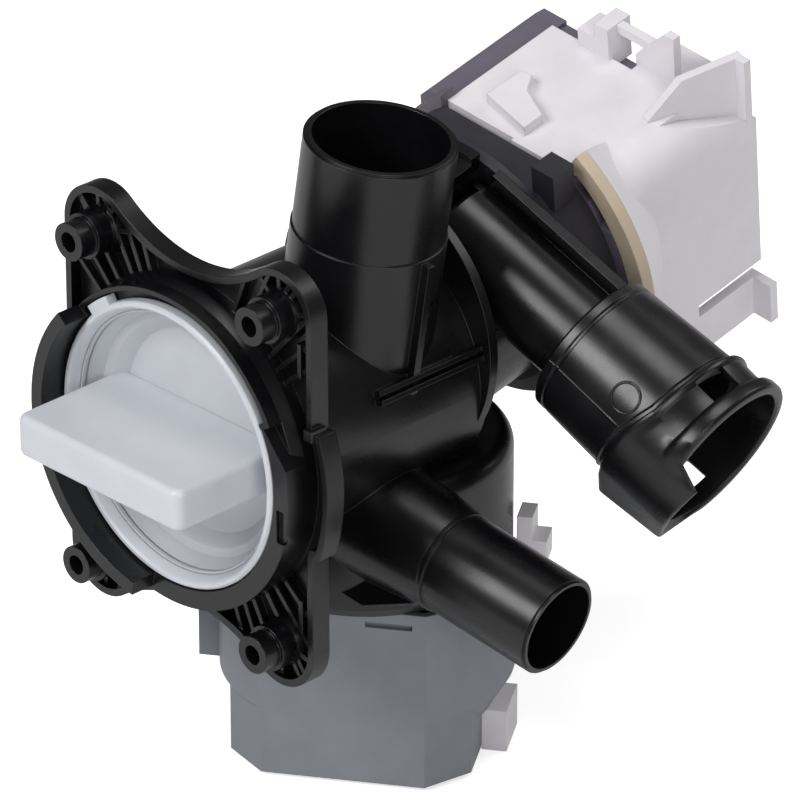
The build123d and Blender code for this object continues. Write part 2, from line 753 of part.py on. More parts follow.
def make_drain_catch():
    """The pale double catch that stands outside the skirt beside the outlet."""
    start = skirt_r - catch_gap
    body = Pos(start + catch_out / 2, catch_side, catch_z) * Box(catch_out, catch_width, catch_height)
    hook = Pos(start + catch_out + hook_out / 2 - catch_gap, catch_side, hook_z)
    body += hook * Box(hook_out, catch_width, hook_height)
    body -= column(Circle(skirt_r + seat_gap), -skirt_length, head_t / 2)
    return drain_place(body - column(Circle(drain_bowl_r + catch_gap), 0, 2 * catch_height))


def make_circ_head():
    """The dark cup behind the circulation volute, with the rotor's can and the square catch."""
    mouth = circ_head_t + head_plug_t
    above = Pos(0, cover_top + circ_head_r) * Rectangle(2 * circ_head_r, 2 * circ_head_r)
    body = column(Circle(circ_head_r), 0, circ_head_t) - column(above, -overrun, circ_head_t - head_flat_front)
    hollow = column(Circle(circ_head_r - circ_head_wall), -overrun, circ_head_t - circ_head_plate)
    body -= hollow - column(Pos(0, -circ_head_wall) * above, -overrun, circ_head_t)
    body += column(Circle(plug_r), circ_head_t, mouth)
    body += column(Circle(can_r), -circ_can_length, circ_head_t - circ_head_plate / 2)
    body += Pos(*cube_place) * Box(cube_size, cube_height, cube_size)
    return circ_place(body - can_hollow(circ_can_length, mouth))


def make_former():
    """The tan insulating ring seated between the motor housing's mouth and the white cover."""
    flat = ring(former_r_out, former_r_in) & sector(2 * former_r_out, former_from, former_to)
    return circ_place(column(flat, -former_t, 0))


def cover_box(x, y, z):
    """A block between pairs of x, y and z values, right of, behind and above the cover's corner."""
    middle = Pos(cover_left + (x[0] + x[1]) / 2, cover_top + (z[0] + z[1]) / 2, cover_front - (y[0] + y[1]) / 2)
    return middle * Box(x[1] - x[0], z[1] - z[0], y[1] - y[0])


def cover_prism(x, outline):
    """A prism between two x values, with its outline given as places behind and above the cover's corner."""
    plane = Plane(origin=(cover_left + x[0], cover_top, cover_front), x_dir=(0, 0, -1), z_dir=(1, 0, 0))
    return extrude(plane * make_face(Polyline(*outline, close=True)), x[1] - x[0])


def over_shelf(x_from, drop):
    """The space above the cover's sloping shelf, lowered by a drop."""
    (near, near_h), (far, far_h) = shelf_line
    outline = [(near, near_h - drop), (far, far_h - drop), (far, shelf_reach), (near, shelf_reach)]
    return cover_prism((x_from, x_from + shelf_reach), outline)


def make_circ_housing():
    """The grey cup over the circulation motor, cut back where the white cover lies on it."""
    half, right, top, cut = circ_motor_half, circ_motor_right, circ_motor_top, circ_motor_chamfer
    outline = Polyline((-half, -half + cut), (-half + cut, -half), (right - cut, -half), (right, -half + cut),
                       (right, top - cut), (right - cut, top), (-half + circ_corner_cut, top),
                       (-half, top - circ_corner_cut), close=True)
    body = column(make_face(outline), -circ_motor_length, -former_t - seat_gap)
    body += column(Circle(circ_skirt_r), -former_t - overrun, 0)
    far = 2 * circ_motor_length
    body -= cover_box((-seat_gap, far), (-far, far), (-cover_plate_t - seat_gap, far))
    body -= cover_box((-seat_gap, far), (-far, cover_tab[3] + seat_gap), (-cover_edge_t - seat_gap, far))
    body -= cover_box((cover_right - cover_side_t - seat_gap, far), (cover_side_front - seat_gap, far), (-far, far))
    middle = Pos(cover_left + cover_right - cover_corner_r, cover_top - cover_corner_r)
    outside = middle * Pos(far / 2, far / 2) * Rectangle(far, far)
    outside -= middle * Circle(cover_corner_r - cover_side_t - seat_gap)
    body -= column(outside, -far, 0)
    body -= over_shelf(shelf_cut_from, shelf_cut_drop)
    inner = former_r_in - seat_gap
    slope = spun_z([(inner, 0), (inner, -former_t), (flare_foot_r - flare_wall - seat_gap, -flare_foot),
                    (far, -flare_foot), (far, 0)])
    body -= slope & column(sector(far, former_from - overrun, former_to + overrun), -far, 0)
    body -= column(octagon(circ_motor_inner, circ_motor_chamfer), -circ_motor_length + motor_wall, overrun)
    return circ_place(body)


def cover_section():
    """The white cover's section across the motor: a short level, a round shoulder and the side wall."""
    bend_x = cover_right - cover_corner_r
    shoulder = Pos(bend_x, -cover_corner_r) * ring(cover_corner_r, cover_corner_r - cover_side_t)
    shoulder &= Pos(cover_right - cover_corner_r / 2, -cover_corner_r / 2) * Rectangle(cover_corner_r, cover_corner_r)
    level = Pos((cover_plate_width + bend_x) / 2, -cover_side_t / 2)
    level *= Rectangle(bend_x - cover_plate_width + overrun, cover_side_t)
    wall_high = -cover_corner_r - cover_side_low
    wall = Pos(cover_right - cover_side_t / 2, cover_side_low + wall_high / 2) * Rectangle(cover_side_t, wall_high)
    return Pos(cover_left, cover_top) * (shoulder + level + wall)


def make_connector_cover():
    """The white cover: top plate with tab and wedge, shoulder, side walls, flare, plug block, fin and foot."""
    body = cover_box((0, cover_plate_width), (0, cover_deep), (-cover_plate_t, 0))
    body += cover_box((0, cover_plate_width), (0, cover_edge_deep), (-cover_edge_t, 0))
    body += cover_box(cover_tab[:2], cover_tab[2:], (-cover_edge_t, 0))
    body += column(cover_section(), cover_front - cover_side_back, cover_front - cover_side_front)
    body -= over_shelf(shelf_from, 0)
    corner = Pos(cover_left + cover_right - cover_corner_r, cover_top - cover_corner_r)
    filled = corner * (Circle(cover_corner_r) + Pos(0, -cover_corner_r) * Rectangle(2 * cover_corner_r, 2 * cover_corner_r))
    shelf = over_shelf(shelf_from, cover_side_t) - over_shelf(shelf_from - overrun, 0)
    body += shelf & column(filled, cover_front - cover_side_back, cover_front - cover_side_front)
    run = [cover_wall_head[i] - cover_wall_foot[i] for i in range(2)]
    start = (cover_left + cover_wall_foot[0], cover_top, cover_front - cover_wall_foot[1])
    upright = Plane(origin=start, x_dir=(run[0], 0, -run[1]), z_dir=(run[1], 0, run[0]))
    body += extrude(upright * make_face(Polyline(*cover_wall_points, close=True)), -cover_wall_t)
    body += cover_box((return_from, cover_right), (return_front, return_back), (return_low, return_high))
    wedge = Plane(origin=(cover_left, cover_top, cover_front), x_dir=(1, 0, 0), z_dir=(0, 1, 0))
    body += extrude(wedge.offset(-overrun) * make_face(Polyline(*wedge_points, close=True)), wedge_height + overrun)
    body += cover_box((block_from, block_to), (cover_deep - overrun, cover_deep + block_deep),
                      (-cover_plate_t, block_height))
    body += cover_box((block_to - post_width, block_to), (cover_deep - overrun, cover_deep + block_deep),
                      (0, post_height))
    body += cover_box((block_to - overrun, fin_points[1][0]), (cover_fin_y, cover_fin_y + arm_width),
                      (arm_low, arm_high))
    fin = Pos(cover_left, cover_top) * make_face(Polyline(*fin_points, close=True))
    body += column(fin, cover_front - cover_fin_y - cover_fin_t, cover_front - cover_fin_y)
    body += cover_box((foot_from, cover_right), (foot_front, foot_back), (foot_low, foot_high))
    body += cover_box((cover_right - cover_side_t, cover_right), (foot_front, foot_front + foot_post),
                      (foot_low, cover_side_low + overrun))
    body += cover_box((cover_right - overrun, cover_right + foot_return), (foot_back - foot_return_t, foot_back),
                      (foot_low, foot_high))
    back = -former_t - seat_gap
    flare = spun_z([(former_r_out, back), (flare_foot_r, -flare_foot), (flare_foot_r - flare_wall, -flare_foot),
                    (former_r_out - flare_lip, back)])
    body += flare & column(sector(2 * former_r_out, former_from, former_to), -2 * flare_foot, 0)
    round_former = ring(former_r_out + seat_gap, former_r_in - seat_gap) & sector(2 * former_r_out, former_from - overrun,
                                                                                 former_to + overrun)
    return circ_place(body - column(round_former, back, former_t))


def save(name, shape):
    """Writes one sub-part and says how large it is."""
    solids = shape.solids()
    part = Compound(solids) if len(solids) > 1 else solids[0]
    part.label = name
    export_step(part, f"parts/{name}.step")
    box = part.bounding_box()
    print(name, len(solids), round(part.volume), [round(v, 1) for v in (*box.min, *box.max)])
    return part


def make_cap():
    """The filter cap: a stepped dish with a bar grip, two bayonet lugs and one stop lug."""
    bevel = cap_rim_bevel
    profile = [(0, dish_floor), (dish_floor_r, dish_floor), (dish_step[0], dish_step[1]), dish_shoulder,
               (cap_rim_inner_r, cap_front + bevel), (cap_rim_inner_r + bevel, cap_front), (cap_r - bevel, cap_front),
               (cap_r, cap_front + bevel), (cap_r, cap_rim_back), (cap_neck_r, cap_rim_back),
               (cap_neck_r, cap_neck_end), (cap_tail_r, cap_neck_end), (cap_tail_r, groove_front),
               (groove_r, groove_front), (groove_r, groove_back), (cap_tail_r, groove_back), (cap_tail_r, cap_back),
               (cap_socket_r, cap_back), (cap_socket_r, cap_web_back), (0, cap_web_back)]
    body = spun_y(profile)
    for start in (0, 180):
        lug = sector(cap_lug_r, start - cap_lug_half_angle, start + cap_lug_half_angle) - Circle(cap_neck_r - overrun)
        body += slab(lug, cap_lug_front, cap_lug_back)
    stop = sector(stop_lug_r, stop_lug_angle - stop_lug_half_angle, stop_lug_angle + stop_lug_half_angle)
    body += slab(stop - Circle(cap_r - overrun), cap_front, cap_rim_back)
    plan = Pos(0, (grip_front + dish_floor + overrun / 2) / 2)
    bar = plan * Rectangle(grip_width, dish_floor + overrun / 2 - grip_front)
    bar = fillet(bar.vertices().group_by(Axis.Y)[0], grip_corner)
    bar = column(bar, grip_rise - grip_t / 2, grip_rise + grip_t / 2)
    lips = bar.edges().group_by(Axis.Z)
    bar = fillet(lips[0] + lips[-1], grip_edge)
    limit = spun_y([(0, grip_front - overrun), (cap_r, grip_front - overrun), (cap_rim_inner_r + bevel, cap_front),
                    (dish_shoulder[0] + bevel, dish_shoulder[1]), (dish_step[0] + bevel, dish_step[1]),
                    (dish_floor_r + bevel, dish_floor + overrun / 2), (0, dish_floor + overrun / 2)])
    return body + (bar & limit)


def make_basket():
    """The lint basket: a front ring, twelve bars, a mid ring and a drilled floor."""
    start = cap_web_back + seat_gap
    outer_r, inner_r = basket_r, basket_r - basket_wall
    wall = ring(outer_r, inner_r)
    body = slab(wall, start, start + 2 * basket_ring)
    middle = (start + basket_end) / 2
    body += slab(wall, middle, middle + basket_ring)
    body += slab(wall, basket_end - basket_ring, basket_end)
    bars = Sketch()
    for i in range(basket_bar_count):
        turn = Rot(0, 0, 360 * i / basket_bar_count)
        bars += turn * Pos((outer_r + inner_r) / 2, 0) * Rectangle(basket_wall, basket_bar_width)
    body += slab(bars & ring(outer_r - seat_gap, inner_r + seat_gap), start, basket_end)
    floor = Circle(outer_r)
    for i in range(basket_floor_holes):
        floor -= Rot(0, 0, 360 * i / basket_floor_holes) * Pos(basket_floor_hole_ring, 0) * Circle(basket_floor_hole_r)
    return body + slab(floor, basket_end - basket_floor_t, basket_end)


def make_filter_seal():
    """The rubber ring in the cap's groove, a little wider than the chamber bore's clearance."""
    return spun_y([(groove_r + seat_gap, groove_front + seat_gap), (seal_r, groove_front + seat_gap),
                   (seal_r, groove_back - seat_gap), (groove_r + seat_gap, groove_back - seat_gap)])


def build_all():
    """Makes and saves every sub-part."""
    drain_mouth = head_t + head_plug_t
    circ_mouth = circ_head_t + head_plug_t
    drain_tip = drain_mouth + impeller_rise + impeller_disc_t
    circ_tip = circ_mouth + impeller_rise + impeller_disc_t
    sump = make_sump(tilted(make_volute_envelope()))
    wide = 2 * chamber_end
    front = slab(Rectangle(wide, wide), lip_front - overrun, flange_back)
    outlet_plane = Plane(origin=outlet_mouth, x_dir=(0, 1, 0), z_dir=outlet_way)
    tube = extrude(outlet_plane.offset(overrun) * Circle(outlet_seam_r + overrun), -outlet_root_start - overrun)
    made = {
        "front_flange": sump & front,
        "sump_body": sump - front - tube,
        "drain_outlet_spigot": sump & tube,
        "circulation_volute": make_volute(),
        "discharge_nozzle": make_nozzle(),
        "filter_cap": make_cap(),
        "filter_basket": make_basket(),
        "filter_seal": make_filter_seal(),
        "drain_pump_head": make_drain_head(),
        "drain_motor_cover": make_drain_cover(),
        "drain_latch_tongue": make_latch_tongue(),
        "drain_catch": make_drain_catch(),
        "drain_terminal_housing": make_drain_terminals(),
        "drain_terminals": make_blades(2),
        "drain_stator_core": drain_place(stator_core()),
        "drain_coils": drain_place(coils()),
        "drain_bushes": drain_place(bushes(can_length, drain_mouth)),
        "drain_magnet": drain_place(rotor_magnet(drain_mouth)),
        "drain_shaft": drain_place(rotor_shaft(can_length, drain_tip)),
        "drain_impeller": drain_place(impeller(impeller_r, drain_mouth + impeller_rise, False)),
        "circulation_pump_head": make_circ_head(),
        "circulation_motor_housing": make_circ_housing(),
        "circulation_former": make_former(),
        "circulation_cover": make_connector_cover(),
        "circulation_stator_core": circ_place(stator_core()),
        "circulation_coils": circ_place(coils()),
        "circulation_bushes": circ_place(bushes(circ_can_length, circ_mouth)),
        "circulation_magnet": circ_place(rotor_magnet(circ_mouth)),
        "circulation_shaft": circ_place(rotor_shaft(circ_can_length, circ_tip)),
        "circulation_impeller": circ_place(impeller(impeller_r, circ_mouth + impeller_rise, True)),
    }
    for name, shape in made.items():
        save(name, shape)


build_all()
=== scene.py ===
"""Washer drain pump unit: finishes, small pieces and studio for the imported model."""

import math

import bmesh
import bpy
import numpy as np
from mathutils import Matrix, Vector


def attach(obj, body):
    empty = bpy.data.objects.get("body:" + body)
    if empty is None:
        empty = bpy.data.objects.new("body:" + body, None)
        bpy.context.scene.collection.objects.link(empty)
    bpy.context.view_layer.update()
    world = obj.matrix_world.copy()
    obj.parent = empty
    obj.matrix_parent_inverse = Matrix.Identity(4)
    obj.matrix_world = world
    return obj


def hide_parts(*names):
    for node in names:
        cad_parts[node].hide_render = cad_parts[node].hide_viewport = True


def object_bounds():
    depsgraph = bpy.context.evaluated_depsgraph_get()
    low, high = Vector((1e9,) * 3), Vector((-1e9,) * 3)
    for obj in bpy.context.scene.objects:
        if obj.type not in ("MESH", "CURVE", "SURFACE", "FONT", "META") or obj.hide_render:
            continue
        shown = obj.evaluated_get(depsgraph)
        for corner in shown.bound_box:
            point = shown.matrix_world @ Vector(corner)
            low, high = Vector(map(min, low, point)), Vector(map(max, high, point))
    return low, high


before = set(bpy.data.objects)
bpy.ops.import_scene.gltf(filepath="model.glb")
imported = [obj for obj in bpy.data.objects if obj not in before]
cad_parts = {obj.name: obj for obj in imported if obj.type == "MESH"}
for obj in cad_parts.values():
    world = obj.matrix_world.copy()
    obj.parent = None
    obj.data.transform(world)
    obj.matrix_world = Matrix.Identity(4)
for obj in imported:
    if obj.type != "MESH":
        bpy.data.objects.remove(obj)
CAD_BOX = [list(corner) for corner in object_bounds()]
MM = 0.001

# Studio: metres, watts and shares of full light. A lamp has a name, a place, a side and a power.
FLOOR_HALF = 4.0
FLOOR_BELOW = 0.0002
FLOOR_GLOW = 0.62
ROOM_LIGHT = 0.12
SENSOR_MM = 36.0
NEAREST, FARTHEST = 0.05, 20.0
LAMPS = (
    ("key lamp", (-0.15, -1.0, 0.85), 0.6, 11.5),
    ("fill lamp", (1.25, -0.55, 0.55), 0.7, 6.2),
    ("back lamp", (0.35, 1.15, 0.85), 0.7, 5.0),
    ("top lamp", (0.1, 0.1, 1.3), 0.5, 4.2),
)

# Finishes: the part of a noise's range that carries most of it, and the samples of a rounded edge
NOISE_LOW, NOISE_HIGH = 0.3, 0.7
EDGE_SAMPLES = 6

# Nozzle, in degrees round its axis from the side that leans back
COLUMN_STEP = 2.0
WINDOWS = ((70, 96), (263, 289))
PARTING_LINES = (153.5, 333.5)
PARTING_HALF = 0.5
COLLAR_TURNS = (0, 97, 127, 154, 212, 250, 262, 360)
COLLAR_LENGTHS_MM = (12, 12, 12.8, 15.5, 17.9, 17.9, 12, 12)
FLAT_TURNS, FLAT_SHARES = (128, 150, 262, 272), (0, 1, 1, 0)
TONGUE_TURNS, TONGUE_SHARES = (142, 150, 232), (0, 1, 0)
MARK_TURN = 134.5

# Nozzle rows in mm: distance behind the rim, radius, radius beside the key, and share of the tongue's reach
COLLAR_MM = 12
RIM = (
    (1.4, 18.0, 18.0, 1), (0.5, 18.15, 18.1, 1), (0.0, 18.7, 18.5, 1),
    (0.0, 19.7, 19.1, 1), (0.25, 20.35, 19.45, 1), (0.9, 20.8, 19.6, 1),
    (2.8, 20.8, 19.6, 0.6), (3.6, 20.5, 19.6, 0.4), (4.2, 19.6, 19.6, 0.25),
)
# A window takes the first five of these rows
COLLAR = (
    (4.6, 19.2, 19.6, 0.1), (6.6, 19.15, 19.6, 0), (8.6, 19.25, 19.6, 0), (10.0, 19.4, 19.6, 0),
    (10.6, 19.9, 19.6, 0), (11.2, 20.1, 19.6, 0), (11.8, 19.9, 19.5, 0), (12.1, 19.3, 19.2, 0),
)
WINDOW_ROWS = 5
GROOVE = ((12.2, 18.3, 18.3, 0), (13.0, 18.2, 18.2, 0), (13.3, 18.55, 18.55, 0))
# The key reaches from the rim to here, and only rows outside this radius carry it
KEY_END_MM, KEY_INNER_MM = 12.15, 18.3
SLEEVE_START_MM = 13
# Distance behind the rim and depth of the cut there: a thin groove near the back, and a rounded back edge
SLEEVE = (
    (20.0, 0), (26.0, 0), (32.0, 0), (36.4, 0), (36.6, 0.35), (37.3, 0.35), (37.5, 0), (39.4, 0), (39.9, 0.5),
)
PARTING_HEIGHT_MM = 0.16
BACK_WALL_MM = 2.4
BORE_DEPTH_MM = 11.3
MARK_BEHIND_MM, MARK_THICK_MM = 19.8, 0.36
MARK_COLUMNS, MARK_SIDES = 48, 8
SMOOTH_BELOW = 32

bl_info = {
    "name": "Washer drain pump unit",
    "version": (1, 0, 0),
    "blender": (4, 5, 0),
    "location": "View3D > Sidebar > Pump",
    "description": "Finishes and small pieces for a washer's sump with its two pumps",
    "category": "Object",
}


def linear(code):
    """The linear colour of an sRGB hex code.

    Below 0.04045 a value is divided by 12.92, and above that it follows the 2.4 power.
    """
    value = np.array([int(code[i : i + 2], 16) for i in (1, 3, 5)]) / 255
    value = np.where(value <= 0.04045, value / 12.92, ((value + 0.055) / 1.055) ** 2.4)
    return (*value.tolist(), 1.0)


def add(tree, kind, feeds=None, **settings):
    """Adds a node, sets its settings, and gives each named input a value or a link from a socket."""
    node = tree.nodes.new(kind)
    for key, value in settings.items():
        setattr(node, key, value)
    for key, value in (feeds or {}).items():
        if isinstance(value, bpy.types.NodeSocket):
            tree.links.new(value, node.inputs[key])
        else:
            node.inputs[key].default_value = value
    return node


def blank(name):
    """A material with an empty tree but for the object coordinates that every pattern reads."""
    material = bpy.data.materials.new(name)
    material.use_nodes = True
    tree = material.node_tree
    tree.nodes.clear()
    place = add(tree, "ShaderNodeTexCoord").outputs["Object"]
    return material, tree, place


def per_metre(size_mm):
    """A pattern's scale in Object coordinates, from the real size of one grain in millimetres."""
    return 1000.0 / size_mm


def moulded(name, light, dark, rough, grain_mm, grain_depth_mm, blotch_mm=14.0, edge_mm=0.35, **shader):
    """A moulded plastic: colour and gloss drift over a blotch, a grain is raised, edges shade as rounded."""
    material, tree, place = blank(name)
    edge = add(tree, "ShaderNodeBevel", {"Radius": edge_mm * MM}, samples=EDGE_SAMPLES)
    drift = add(tree, "ShaderNodeTexNoise",
                {"Vector": place, "Scale": per_metre(blotch_mm), "Detail": 5.0, "Roughness": 0.6})
    tone = add(tree, "ShaderNodeMix", {"Factor": drift.outputs["Fac"], 6: linear(dark), 7: linear(light)},
               data_type="RGBA")
    grain = add(tree, "ShaderNodeTexNoise",
                {"Vector": place, "Scale": per_metre(grain_mm), "Detail": 3.0, "Roughness": 0.55})
    raised = add(tree, "ShaderNodeBump",
                 {"Height": grain.outputs["Fac"], "Distance": grain_depth_mm * MM, "Strength": 1.0,
                  "Normal": edge.outputs[0]})
    low, high = rough
    gloss = add(tree, "ShaderNodeMapRange",
                {"Value": drift.outputs["Fac"], "From Min": NOISE_LOW, "From Max": NOISE_HIGH,
                 "To Min": low, "To Max": high})
    surface = add(tree, "ShaderNodeBsdfPrincipled",
                  {"Base Color": tone.outputs[2], "Roughness": gloss.outputs[0], "Normal": raised.outputs[0],
                   "IOR": 1.49, **shader})
    add(tree, "ShaderNodeOutputMaterial", {"Surface": surface.outputs[0]})
    return material


def metal(name, light, dark, rough, line_mm, across, depth_mm, metallic=1.0):
    """A metal with fine parallel lines, as left by stamping, winding or grinding."""
    material, tree, place = blank(name)
    stretch = add(tree, "ShaderNodeMapping", {"Vector": place, "Scale": across})
    lines = add(tree, "ShaderNodeTexNoise",
                {"Vector": stretch.outputs[0], "Scale": per_metre(line_mm), "Detail": 2.0})
    tone = add(tree, "ShaderNodeMix", {"Factor": lines.outputs["Fac"], 6: linear(dark), 7: linear(light)},
               data_type="RGBA")
    raised = add(tree, "ShaderNodeBump",
                 {"Height": lines.outputs["Fac"], "Distance": depth_mm * MM, "Strength": 1.0})
    surface = add(tree, "ShaderNodeBsdfPrincipled",
                  {"Base Color": tone.outputs[2], "Metallic": metallic, "Roughness": rough,
                   "Normal": raised.outputs[0]})
    add(tree, "ShaderNodeOutputMaterial", {"Surface": surface.outputs[0]})
    return material


def dress(material, *nodes):
    """Gives a CAD node's object its one finished material."""
    for name in nodes:
        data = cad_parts[name].data
        data.materials.clear()
        data.materials.append(material)


def closed_grid(name, points, windows, material):
    """A mesh from a grid of points that closes on itself both ways, with see-through windows.

    A window is (first column, last column, first row, last row, mirrored row of the first). Its faces are
    left out on the outer wall and on the mirrored rows of the inner wall, and its sides join the two walls.
    """
    number = np.arange(points.shape[0] * points.shape[1]).reshape(points.shape[:2])
    kept = np.ones(number.shape, bool)
    sides = []
    for left, right, low, high, mirror in windows:
        kept[low:high, left:right] = False
        kept[mirror - (high - low):mirror, left:right] = False
        outer = number[low:high + 1]
        inner = number[mirror - (high - low):mirror + 1][::-1]
        for i in (0, high - low):
            for j in range(left, right):
                sides.append((outer[i, j], outer[i, j + 1], inner[i, j + 1], inner[i, j]))
        for i in range(high - low):
            for j in (left, right):
                sides.append((outer[i, j], outer[i + 1, j], inner[i + 1, j], inner[i, j]))
    beside = np.roll(number, -1, 1)
    below, corner = np.roll(number, -1, 0), np.roll(beside, -1, 0)
    faces = np.stack([number, beside, corner, below], -1)[kept].tolist()
    faces += np.array(sides, int).reshape(-1, 4).tolist()
    data = bpy.data.meshes.new(name)
    data.from_pydata(points.reshape(-1, 3).tolist(), [], faces)
    work = bmesh.new()
    work.from_mesh(data)
    bmesh.ops.delete(work, geom=[v for v in work.verts if not v.link_faces], context="VERTS")
    bmesh.ops.recalc_face_normals(work, faces=work.faces)
    work.to_mesh(data)
    work.free()
    data.shade_smooth()
    data.set_sharp_from_angle(angle=math.radians(SMOOTH_BELOW))
    data.materials.append(material)
    piece = bpy.data.objects.new(name, data)
    bpy.context.scene.collection.objects.link(piece)
    return piece


class PumpNozzleSettings(bpy.types.PropertyGroup):
    """The keyed nozzle at the end of the circulation pump's discharge."""

    mouth: bpy.props.FloatVectorProperty(
        name="Mouth", description="Middle of the mouth's rim", default=(0.08133, 0.09055, -0.00561),
        subtype="TRANSLATION")
    drop: bpy.props.FloatProperty(
        name="Drop", description="How far the discharge points below the level",
        default=math.radians(26), subtype="ANGLE")
    tilt: bpy.props.FloatProperty(
        name="Tilt", description="How far the circulation pump leans back",
        default=math.radians(13), subtype="ANGLE")
    length: bpy.props.FloatProperty(
        name="Length", description="From the rim to the back of the sleeve",
        default=0.0399, unit="LENGTH")
    back_r: bpy.props.FloatProperty(
        name="Back radius", description="Of the sleeve where it starts",
        default=0.0172, unit="LENGTH")
    front_r: bpy.props.FloatProperty(
        name="Front radius", description="Of the sleeve where the collar starts",
        default=0.0186, unit="LENGTH")
    bore_r: bpy.props.FloatProperty(
        name="Bore radius", description="Of the mouth's smooth bore", default=0.018, unit="LENGTH")
    deep_r: bpy.props.FloatProperty(
        name="Cavity radius", description="Behind the bore", default=0.0152, unit="LENGTH")
    tube_r: bpy.props.FloatProperty(
        name="Tube radius", description="Of the hole for the discharge tube",
        default=0.01176, unit="LENGTH")
    flat_r: bpy.props.FloatProperty(
        name="Flat radius", description="Of the collar beside the key",
        default=0.0196, unit="LENGTH")
    key_angle: bpy.props.FloatProperty(
        name="Key angle", description="Way round of the key's corner",
        default=math.radians(232), subtype="ANGLE")
    key_front: bpy.props.FloatProperty(
        name="Key reach in front", description="From the axis to the key's corner",
        default=0.0227, unit="LENGTH")
    key_back: bpy.props.FloatProperty(
        name="Key reach behind", description="From the axis to the key's corner",
        default=0.0240, unit="LENGTH")
    tongue: bpy.props.FloatProperty(
        name="Tongue", description="How far the key's tongue stands in front of the rim",
        default=0.0061, unit="LENGTH")
    mark_r: bpy.props.FloatProperty(
        name="Mark radius", description="Of the round ejector mark on the sleeve",
        default=0.0034, unit="LENGTH")


class PUMP_OT_nozzle(bpy.types.Operator):
    """Makes the nozzle with its rolled rim, keyed collar, two windows, parting lines and ejector mark"""

    bl_idname = "pump.nozzle"
    bl_label = "Discharge nozzle"

    def execute(self, context):
        """Rows run back from the rim outside and forward again inside, and columns run once round the axis.

        A row has a distance behind the rim and a radius. The collar's rows stretch with its length, which
        grows from 12 mm to 18 mm towards the key. Beside the key the radius is the distance to the straight
        line from the key's corner that touches the collar: flat radius / cos(angle from the line's normal).
        """
        n = context.scene.pump_nozzle
        edges = [edge for window in WINDOWS for edge in window]
        edges += [line + aside for line in PARTING_LINES for aside in (-PARTING_HALF, 0, PARTING_HALF)]
        turn = np.unique(np.concatenate([np.arange(0, 360, COLUMN_STEP), edges]))
        stretch = np.interp(turn, COLLAR_TURNS, COLLAR_LENGTHS_MM) / COLLAR_MM
        plain = np.interp(turn, FLAT_TURNS, FLAT_SHARES)
        tongue = np.interp(turn, TONGUE_TURNS, TONGUE_SHARES) * n.tongue
        grid = []
        for place, radius, beside, share in RIM + COLLAR + GROOVE:
            behind = place * MM * stretch - share * tongue
            out = (radius * (1 - plain) + beside * plain) * MM
            if place < KEY_END_MM and radius >= KEY_INNER_MM:
                along = min(place / COLLAR_MM, 1)
                reach = n.key_front + (n.key_back - n.key_front) * along
                half = math.acos(n.flat_r / reach)
                from_key = np.abs(np.radians(turn) - n.key_angle)
                line = n.flat_r / np.cos(np.minimum(half - from_key, half))
                out = out + np.where(from_key < half, line - n.flat_r, 0.0)
            grid.append((behind, out))

        def sleeve_r(distance):
            """The sleeve's radius, which shrinks evenly from the collar to the back."""
            start = SLEEVE_START_MM * MM
            return n.front_r + (n.back_r - n.front_r) * (distance - start) / (n.length - start)

        ridge = np.isin(turn, PARTING_LINES) * PARTING_HEIGHT_MM * MM
        for place, depth in SLEEVE:
            grid.append((place * MM + 0 * turn, sleeve_r(place * MM) - depth * MM + ridge))
        wall, bore_end = n.length - BACK_WALL_MM * MM, BORE_DEPTH_MM * MM
        inner = [(n.length, n.tube_r), (wall, n.tube_r), (wall, n.deep_r),
                 (bore_end, n.deep_r), (bore_end, n.bore_r)]
        inner += [(row[0] * MM, n.bore_r) for row in reversed(COLLAR[:WINDOW_ROWS])]
        grid += [(place + 0 * turn, radius + 0 * turn) for place, radius in inner]
        behind = np.array([row[0] for row in grid])
        out = np.array([row[1] for row in grid])
        cosine, sine = math.cos(n.tilt), math.sin(n.tilt)
        way = np.array([math.cos(n.drop), math.sin(n.drop) * sine, -math.sin(n.drop) * cosine])
        side = np.array([0.0, cosine, sine])
        up = np.cross(way, side)

        def spot(distance, radius, angle):
            """The point at a distance behind the rim, a radius and a way round."""
            outwards = np.cos(angle)[..., None] * side + np.sin(angle)[..., None] * up
            return np.array(n.mouth) - distance[..., None] * way + radius[..., None] * outwards

        points = spot(behind, out, np.broadcast_to(np.radians(turn), behind.shape))
        first, last = len(RIM), len(grid) - 1
        cuts = [(*np.searchsorted(turn, window), first, first + WINDOW_ROWS - 1, last) for window in WINDOWS]
        black = bpy.data.materials["black polypropylene"]
        sleeve = closed_grid("nozzle_sleeve", points, cuts, black)
        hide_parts("discharge_nozzle")
        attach(sleeve, "pump_body")
        # The ejector pin leaves a round raised line on the sleeve
        round_it, over = np.meshgrid(np.linspace(0, 2 * np.pi, MARK_COLUMNS, endpoint=False),
                                     np.linspace(0, 2 * np.pi, MARK_SIDES, endpoint=False), indexing="ij")
        thick = MARK_THICK_MM * MM
        flat = n.mark_r + thick * np.cos(over)
        distance = MARK_BEHIND_MM * MM + flat * np.cos(round_it)
        surface_r = sleeve_r(distance)
        angle = math.radians(MARK_TURN) + flat * np.sin(round_it) / surface_r
        mark = closed_grid("nozzle_mark", spot(distance, surface_r + thick * np.sin(over), angle), [], black)
        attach(mark, "pump_body")
        return {"FINISHED"}


